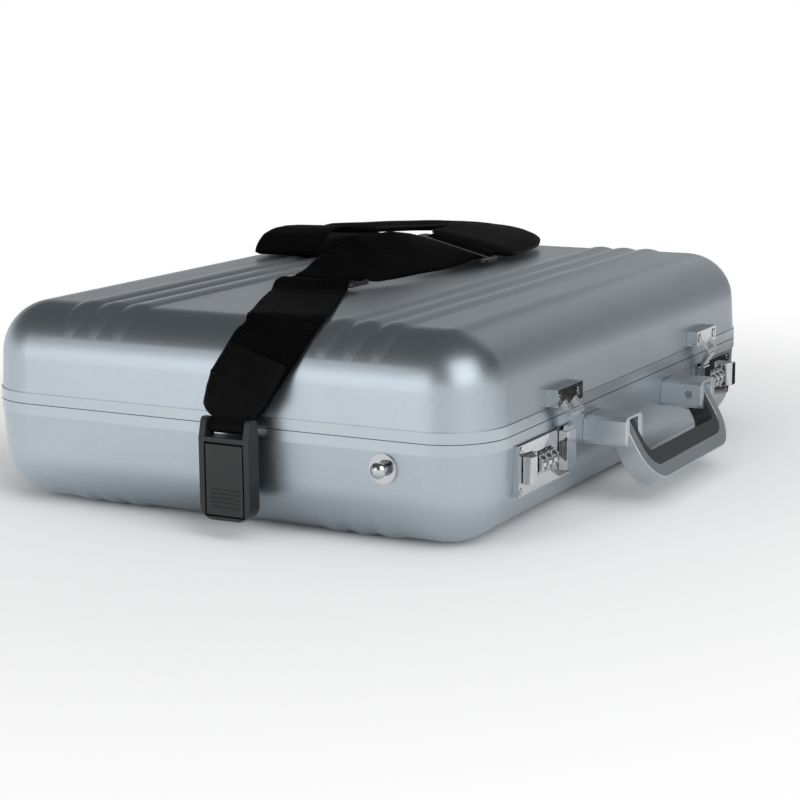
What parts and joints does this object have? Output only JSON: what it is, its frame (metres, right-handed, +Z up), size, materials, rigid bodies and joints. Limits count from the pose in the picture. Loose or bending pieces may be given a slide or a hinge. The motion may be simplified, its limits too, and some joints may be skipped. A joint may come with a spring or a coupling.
{
  "type": "attache case",
  "caption": "Ribbed aluminium attache case with number locks, hasps, swinging carry handle and a loose webbing shoulder strap that clips to end posts.",
  "frame": {"origin": "middle of the case in plan, on the face that it rests on", "axes": "+X along the case's length, -Y towards the front with the handle and locks, +Y towards the hinge, +Z up through the lid"},
  "size_m": [0.4962, 0.4007, 0.1535],
  "materials": {
    "shell_aluminium": "satin",
    "frame_aluminium": "satin",
    "handle_metal": "satin",
    "chrome": "polished",
    "steel": "brushed",
    "seal_rubber": "matt",
    "lining": "matt",
    "dark_leather": "satin",
    "webbing": "ribbed",
    "pad_fabric": "matt",
    "clip_plastic": "satin",
    "grip_plastic": "matt"
  },
  "bodies": {
    "base": {"base_shell": "shell_aluminium", "base_frame": "frame_aluminium", "base_rivets": "steel", "base_liner": "lining", "hinge_base_leaf": "frame_aluminium", "hinge_pin": "steel", "lock_plate_left": "chrome", "lock_plate_right": "chrome", "dial_spindle_left": "steel", "dial_spindle_right": "steel", "lock_screws": "chrome", "handle_mount_left": "handle_metal", "handle_mount_right": "handle_metal", "handle_pin_left": "steel", "handle_pin_right": "steel", "strap_post_left": "chrome", "strap_post_right": "chrome"},
    "lid": {"lid_shell": "shell_aluminium", "lid_frame": "frame_aluminium", "lid_seal": "seal_rubber", "lid_rivets": "steel", "lid_liner": "lining", "lid_pocket": "dark_leather", "hinge_lid_leaf": "frame_aluminium", "striker_left": "chrome", "striker_right": "chrome", "striker_screws": "chrome", "hasp_pin_left": "steel", "hasp_pin_right": "steel"},
    "hasp_left": {"hasp_left": "chrome"},
    "hasp_right": {"hasp_right": "chrome"},
    "thumb_slide_left": {"thumb_slide_left": "chrome"},
    "thumb_slide_right": {"thumb_slide_right": "chrome"},
    "handle": {"handle_bail": "handle_metal", "grip_insert": "grip_plastic"},
    "strap": {"webbing_front": "webbing", "webbing_return": "webbing", "strap_tab_left": "dark_leather", "strap_tab_right": "dark_leather", "strap_clip_left": "clip_plastic", "strap_clip_right": "clip_plastic", "web_slide_left": "clip_plastic", "web_slide_right": "clip_plastic", "shoulder_pad": "pad_fabric"},
    "clip_tongue_left": {"clip_tongue_left": "clip_plastic"},
    "clip_tongue_right": {"clip_tongue_right": "clip_plastic"},
    "dial_left_1": {"dial_left_1": "chrome"},
    "dial_left_2": {"dial_left_2": "chrome"},
    "dial_left_3": {"dial_left_3": "chrome"},
    "dial_right_1": {"dial_right_1": "chrome"},
    "dial_right_2": {"dial_right_2": "chrome"},
    "dial_right_3": {"dial_right_3": "chrome"}
  },
  "joints": [
    {"name": "lid_hinge", "type": "hinge", "parent": "base", "child": "lid", "pos_m": [0, 0.179, 0.065], "axis": [-1, 0, 0], "range_deg": [0, 95]},
    {"name": "handle_swing", "type": "hinge", "parent": "base", "child": "handle", "pos_m": [0, -0.193, 0.04895], "axis": [-1, 0, 0], "range_deg": [0, 60]},
    {"name": "strap_lift", "type": "slide", "parent": "lid", "child": "strap", "axis": [0, 0, 1], "range_m": [0, 0.15]},
    {"name": "hasp_left_hinge", "type": "hinge", "parent": "lid", "child": "hasp_left", "pos_m": [-0.119, -0.185, 0.06845], "axis": [-1, 0, 0], "range_deg": [0, 105]},
    {"name": "thumb_slide_left_push", "type": "slide", "parent": "base", "child": "thumb_slide_left", "axis": [-1, 0, 0], "range_m": [0, 0.0035]},
    {"name": "dial_left_1_turn", "type": "hinge", "parent": "base", "child": "dial_left_1", "pos_m": [-0.155, -0.1765, 0.04325], "axis": [1, 0, 0], "continuous": true},
    {"name": "dial_left_2_turn", "type": "hinge", "parent": "base", "child": "dial_left_2", "pos_m": [-0.147, -0.1765, 0.04325], "axis": [1, 0, 0], "continuous": true},
    {"name": "dial_left_3_turn", "type": "hinge", "parent": "base", "child": "dial_left_3", "pos_m": [-0.139, -0.1765, 0.04325], "axis": [1, 0, 0], "continuous": true},
    {"name": "clip_tongue_left_press", "type": "hinge", "parent": "strap", "child": "clip_tongue_left", "pos_m": [-0.2456, -0.02, 0.0555], "axis": [0, 1, 0], "range_deg": [0, 8], "stiffness_Nm_per_rad": 0.05},
    {"name": "hasp_right_hinge", "type": "hinge", "parent": "lid", "child": "hasp_right", "pos_m": [0.119, -0.185, 0.06845], "axis": [-1, 0, 0], "range_deg": [0, 105]},
    {"name": "thumb_slide_right_push", "type": "slide", "parent": "base", "child": "thumb_slide_right", "axis": [1, 0, 0], "range_m": [0, 0.0035]},
    {"name": "dial_right_1_turn", "type": "hinge", "parent": "base", "child": "dial_right_1", "pos_m": [0.155, -0.1765, 0.04325], "axis": [1, 0, 0], "continuous": true},
    {"name": "dial_right_2_turn", "type": "hinge", "parent": "base", "child": "dial_right_2", "pos_m": [0.147, -0.1765, 0.04325], "axis": [1, 0, 0], "continuous": true},
    {"name": "dial_right_3_turn", "type": "hinge", "parent": "base", "child": "dial_right_3", "pos_m": [0.139, -0.1765, 0.04325], "axis": [1, 0, 0], "continuous": true},
    {"name": "clip_tongue_right_press", "type": "hinge", "parent": "strap", "child": "clip_tongue_right", "pos_m": [0.2456, 0.141, 0.0555], "axis": [0, -1, 0], "range_deg": [0, 8], "stiffness_Nm_per_rad": 0.05}
  ]
}
